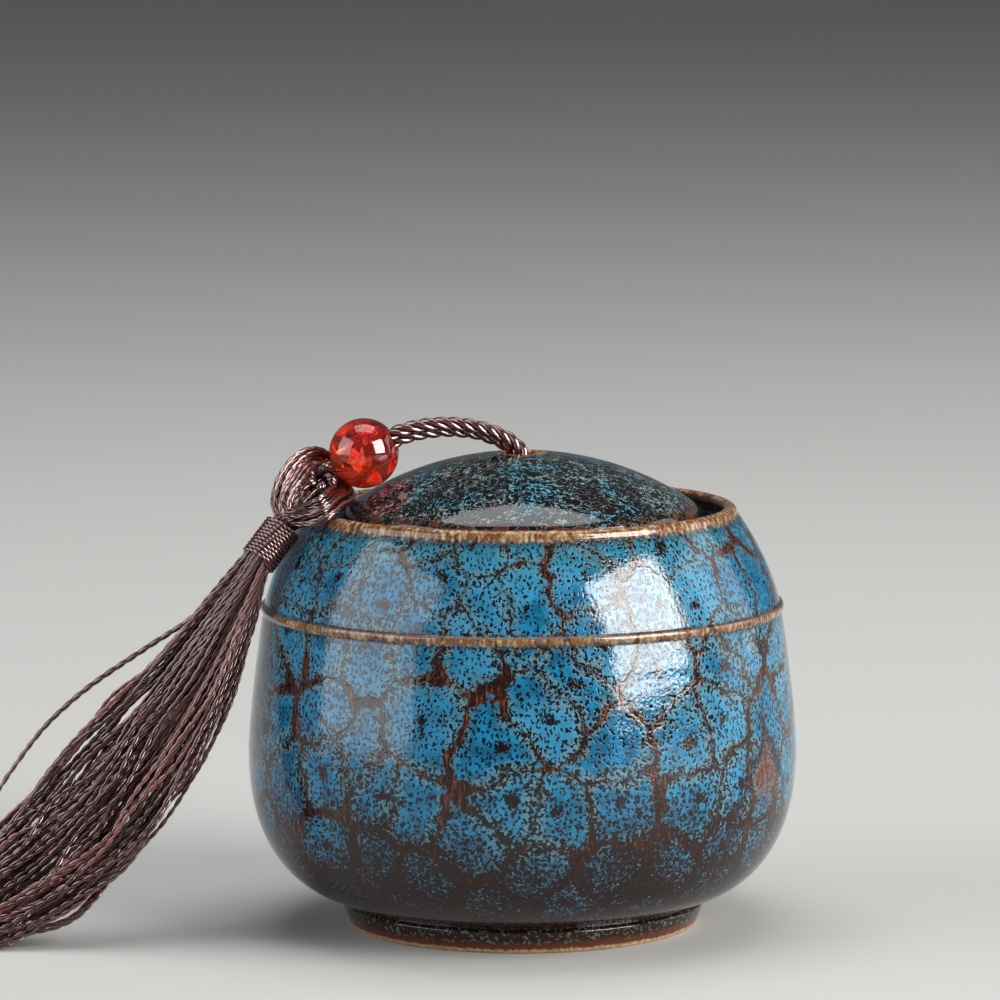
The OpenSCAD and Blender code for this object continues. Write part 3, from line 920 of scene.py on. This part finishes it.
lidColours = {"black": rgb(12, 10, 11), "brown": rgb(30, 16, 11), "teal": rgb(84, 136, 144),
              "cyan": rgb(76, 150, 172), "ash": rgb(130, 146, 142), "rust": rgb(96, 46, 20),
              "tan": rgb(178, 134, 80), "clay": rgb(150, 116, 84), "clayPale": rgb(184, 152, 116)}
lidSizes = {"patch": 6.5, "hue": 8.0, "squiggle": 1.7, "second": 0.9, "brim": (33.2, 36.0),
            "ring": (5.6, 4.9), "below": (79.4, 78.6), "hollow": (3480, 3440), "hollowEdge": (30.6, 30.2),
            "roughness": 0.05, "lift": 0.00006}


def makeLidGlaze():
    c, g = lidColours, lidSizes
    material, bench = newMaterial("lidGlaze")
    place = bench.placeInMm()
    x, y, z = bench.parts(place)
    radius = (x * x + y * y) ** 0.5
    patch = bench.noise(place, g["patch"], detail=2)
    hue = bench.noise(bench.vector("ADD", place, (9.0, 4.0, 0.0)), g["hue"], detail=1)
    squiggle = bench.noise(place, g["squiggle"], detail=1.0, roughness=0.5, distortion=1.1)
    aside = bench.vector("ADD", place, (50.0, 0.0, 0.0))
    second = bench.noise(aside, g["second"], detail=1, distortion=0.8)
    wavy = squiggle - 0.5
    # fine broken lines and dots of teal on black
    width = patch.step(0.3, 0.68) * 0.03 + 0.016
    line = (width - wavy.join("ABSOLUTE")).step(-0.006, 0.012) * second.step(0.36, 0.5)
    dot = second.step(0.63, 0.67) * patch.step(0.4, 0.6)
    halves = second.step(0.4, 0.6)
    tint = bench.mix(hue.step(0.5, 0.62) * 0.85, bench.mix(halves, c["teal"], c["ash"]), c["cyan"])
    # rusty towards the brim and round the hole, bare clay below
    brim = (radius + (patch - 0.5) * 5 + wavy * 2).step(*g["brim"]) * 0.9
    ring = (radius + wavy * 0.9).step(*g["ring"])
    rise = z - lidShape["domeCentre"]
    hollow = (radius * radius + rise * rise).step(*g["hollow"])
    bare = z.step(*g["below"]).most(hollow * radius.step(*g["hollowEdge"])) * 0.9
    ground = bench.mix(patch.step(0.55, 0.3) * 0.5, c["black"], c["brown"])
    coat = bench.layered(ground, (
        (line.most(dot) * 0.9, tint),
        (brim, bench.mix(squiggle.step(0.45, 0.6), c["brown"], c["rust"])),
        (ring, bench.mix(halves, c["tan"], c["rust"])),
        (bare, bench.mix(second.step(0.35, 0.65), c["clay"], c["clayPale"]))))
    finishGlaze(bench, coat, bare, squiggle * -0.4 + line * 0.3 + patch * 0.6, g)
    return material


lidPiece = turned("glazedLid", lidProfile(), lidShape["segments"], lidUneven, makeLidGlaze())
print("lid turned")


# glass ball on the cord, crackled inside

ballMake = {"radius": 7.0, "bore": 2.6, "centre": (-31.403, -1.0, 94.876), "dip": 26.565, "segments": 96,
            "softEdge": 0.25, "seed": 5}
glassFinish = {"heart": rgb(234, 72, 62), "rim": rgb(116, 7, 8), "lowLeft": rgb(255, 116, 66),
               "roughness": 0.02, "ior": 1.5, "clear": 0.91, "cloud": 3.2, "wave": 2.5, "lift": 0.00005}
crackMake = {"count": 36, "sizes": (0.7, 1.55), "curl": 0.12, "thick": 0.05, "rings": 9, "steps": 18,
             "wavy": 0.25, "rough": 0.1, "clear": 0.25, "ior": 1.5, "grain": 1.1, "lift": 0.0001,
             "dark": rgb(246, 82, 60), "pale": rgb(255, 206, 190)}


def makeGlass():
    g = glassFinish
    material, bench = newMaterial("redGlass")
    place = bench.placeInMm()
    x, _, z = bench.parts(place)
    cloud = bench.noise(place, g["cloud"], detail=2)
    # brighter orange low on the left: a painted glow of light focused through the ball
    lowLeft = (x * -0.7 - z * 0.75 + (cloud - 0.5) * 8).step(-53, -45)
    rim = bench.add("ShaderNodeLayerWeight", {}, {"Blend": 0.35})["Facing"]
    colour = bench.mix(lowLeft, bench.mix(rim, g["heart"], g["rim"]), g["lowLeft"])
    finishMaterial(bench, {"Base Color": colour, "Roughness": g["roughness"], "IOR": g["ior"],
                           "Transmission Weight": g["clear"]},
                   (bench.noise(place, g["wave"], detail=1), g["lift"], 0.3))
    return material


def makeCrackle():
    c = crackMake
    material, bench = newMaterial("glassCrackle")
    shine = bench.noise(bench.placeInMm(), c["grain"], detail=2)
    colour = bench.mix(shine.step(0.4, 0.6), c["dark"], c["pale"])
    finishMaterial(bench, {"Base Color": colour, "Roughness": shine * 0.3 + 0.08, "IOR": c["ior"],
                           "Transmission Weight": c["clear"]}, (shine, c["lift"], 0.6))
    return material


def flake(size, curl, about):
    # a thin curled flake, of two skins that meet at its rim
    c, rings, steps = crackMake, crackMake["rings"], crackMake["steps"]

    def point(i, k, side):
        a = 2 * math.pi * k / steps
        away = size * i / rings * (1 + c["wavy"] * math.sin(3 * a + about))
        x, y = away * math.cos(a), away * math.sin(a)
        rough = c["rough"] * noise.noise((x * 2, y * 2, about * 9))
        return Vector((x, y, curl * away * away + side * (1 - i / rings) + rough))

    points, faces = [], []
    for side in (c["thick"], -c["thick"]):
        points.append(point(0, 0, side))
        points += [point(i, k, side) for i in range(1, rings) for k in range(steps)]
    rimStart = len(points)
    points += [point(rings, k, 0) for k in range(steps)]
    for centre in (0, rimStart // 2):

        def at(i, k):
            return (rimStart if i == rings else centre + 1 + (i - 1) * steps) + k % steps

        for k in range(steps):
            strip = [(centre, at(1, k), at(1, k + 1))]
            strip += [(at(i, k), at(i + 1, k), at(i + 1, k + 1), at(i, k + 1)) for i in range(1, rings)]
            faces += [face[::-1] for face in strip] if centre else strip
    return points, faces


def makeBall():
    b, c = ballMake, crackMake
    tilt = math.radians(b["dip"])
    boreAxis = Vector((-math.cos(tilt), 0, -math.sin(tilt)))
    turn = boreAxis.to_track_quat("Z", "Y").to_matrix()
    centre = Vector(b["centre"])
    start = math.asin(b["bore"] / b["radius"])
    half = b["radius"] * math.cos(start)
    profile = domeArc((0, 0), b["radius"], math.pi - start, start, 60)
    profile += [(b["bore"], z) for z in spaced(half, -half, 14)[1:-1]]
    profile = softened(profile, b["softEdge"])
    ball = turned("glassBall", profile, b["segments"], lambda angle, r, z: 0.0, makeGlass())
    draw = random.Random(b["seed"])
    verts = [turn @ v.co + centre * mm for v in ball.data.vertices]
    faces = [tuple(p.vertices) for p in ball.data.polygons]
    clear = len(faces)
    for _ in range(c["count"]):
        size, curl = draw.uniform(*c["sizes"]), draw.uniform(-c["curl"], c["curl"])
        about = draw.uniform(0, 2 * math.pi)
        reach = 1.25 * size + 0.15
        out = b["bore"] + 0.05 + reach
        room = math.sqrt((b["radius"] - 0.15 - reach) ** 2 - out ** 2)
        middle = Vector((out * math.cos(about), out * math.sin(about), draw.uniform(-room, room)))
        spin = Matrix.Rotation(draw.uniform(0, math.pi), 3, "X")
        spin = spin @ Matrix.Rotation(draw.uniform(0, math.pi), 3, "Y")
        points, skins = flake(size, curl, about)
        faces += [tuple(len(verts) + n for n in face) for face in skins]
        verts += [(turn @ (middle + spin @ p) + centre) * mm for p in points]
    mesh = meshOf("glassBall", [tuple(v) for v in verts], faces, ball.data.materials[0], makeCrackle())
    for polygon in mesh.polygons:
        polygon.material_index = 0 if polygon.index < clear else 1
    ball.data = mesh
    return ball


ballPiece = makeBall()
print("glass ball made")


# floor and lights

floorMake = {"radius": 12, "sides": 96, "mottle": 0.4, "dark": rgb(192, 191, 188),
             "pale": rgb(198, 197, 194), "roughness": 0.7, "gloss": 0.2}
# each softbox: degrees round from the front and up, metres away, metres wide and high, watts, and
# the watts of its twin, which shows only in glossy surfaces
lightSet = {"left": {"azimuth": -71, "height": 20, "away": 2.6, "size": (2.33, 2.33), "power": 45,
                     "shine": 28, "colour": (0.93, 0.96, 1.0)},
            "right": {"azimuth": 57.5, "height": 24, "away": 2.6, "size": (1.72, 1.87), "power": 92,
                      "shine": 128, "colour": (1.0, 0.99, 0.97)},
            "side": {"azimuth": 108, "height": 12, "away": 2.6, "size": (1.4, 2.1), "power": 20,
                     "shine": 0, "colour": (1.0, 1.0, 1.0)},
            "top": {"azimuth": 178, "height": 82, "away": 1.3, "size": (1.0, 0.8), "power": 9,
                    "shine": 0, "colour": (1.0, 1.0, 1.0)}}
studio = {"aim": (0, 0, 0.05), "twinNearer": 0.01, "air": (0.8, 0.84, 0.9, 1), "airStrength": 0.15}


def makeFloor():
    f = floorMake
    verts = [(f["radius"] * math.cos(a), f["radius"] * math.sin(a), 0) for a in roundTurns(f["sides"])]
    mesh = bpy.data.meshes.new("paleFloor")
    mesh.from_pydata(verts, [], [tuple(range(f["sides"]))])
    material, bench = newMaterial("paleFloor")
    place = bench.add("ShaderNodeTexCoord")["Object"]
    tone = bench.mix(bench.noise(place, f["mottle"], detail=1), f["dark"], f["pale"])
    finishMaterial(bench, {"Base Color": tone, "Roughness": f["roughness"],
                           "Specular IOR Level": f["gloss"]})
    mesh.materials.append(material)
    linkObject("paleFloor", mesh)


def makeLights():
    aim = Vector(studio["aim"])
    for name, l in lightSet.items():
        azimuth, height = math.radians(l["azimuth"]), math.radians(l["height"])
        spot = aim + l["away"] * Vector((math.sin(azimuth) * math.cos(height),
                                         -math.cos(azimuth) * math.cos(height), math.sin(height)))
        data = bpy.data.lights.new(name + "Softbox", "AREA")
        data.shape, data.size, data.size_y = "RECTANGLE", *l["size"]
        data.energy, data.color = l["power"], l["colour"]
        lamp = linkObject(name + "Softbox", data)
        facing = (aim - spot).to_track_quat("-Z", "Y").to_matrix().to_4x4()
        lamp.matrix_world = Matrix.Translation(spot) @ facing
        lamp.visible_camera = False
        if l["shine"]:
            twin = linkObject(name + "Shine", data.copy())
            twin.data.energy = l["shine"]
            twin.matrix_world = Matrix.Translation((aim - spot) * studio["twinNearer"]) @ lamp.matrix_world
            twin.visible_camera = twin.visible_diffuse = False


def makeAir():
    world = bpy.data.worlds.new("studioAir")
    world.use_nodes = True
    air = world.node_tree.nodes["Background"].inputs
    air["Color"].default_value, air["Strength"].default_value = studio["air"], studio["airStrength"]
    bpy.context.scene.world = world
    bpy.context.scene.view_settings.view_transform = "Standard"


makeFloor()
makeLights()
makeAir()
print("floor and lights placed")


# what rides where and stands for what

def claim(piece, node):
    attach(piece, "root")
    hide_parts(node)


claim(jarPiece, "body")
claim(lidPiece, "lid")
claim(ballPiece, "bead")
claim(cordPiece, "cord")
claim(stopperKnot, "stopper_knot")
claim(headKnot, "cord_knot")
claim(bindingPiece, "binding")
for piece in tasselPieces:
    claim(piece, "tassel")
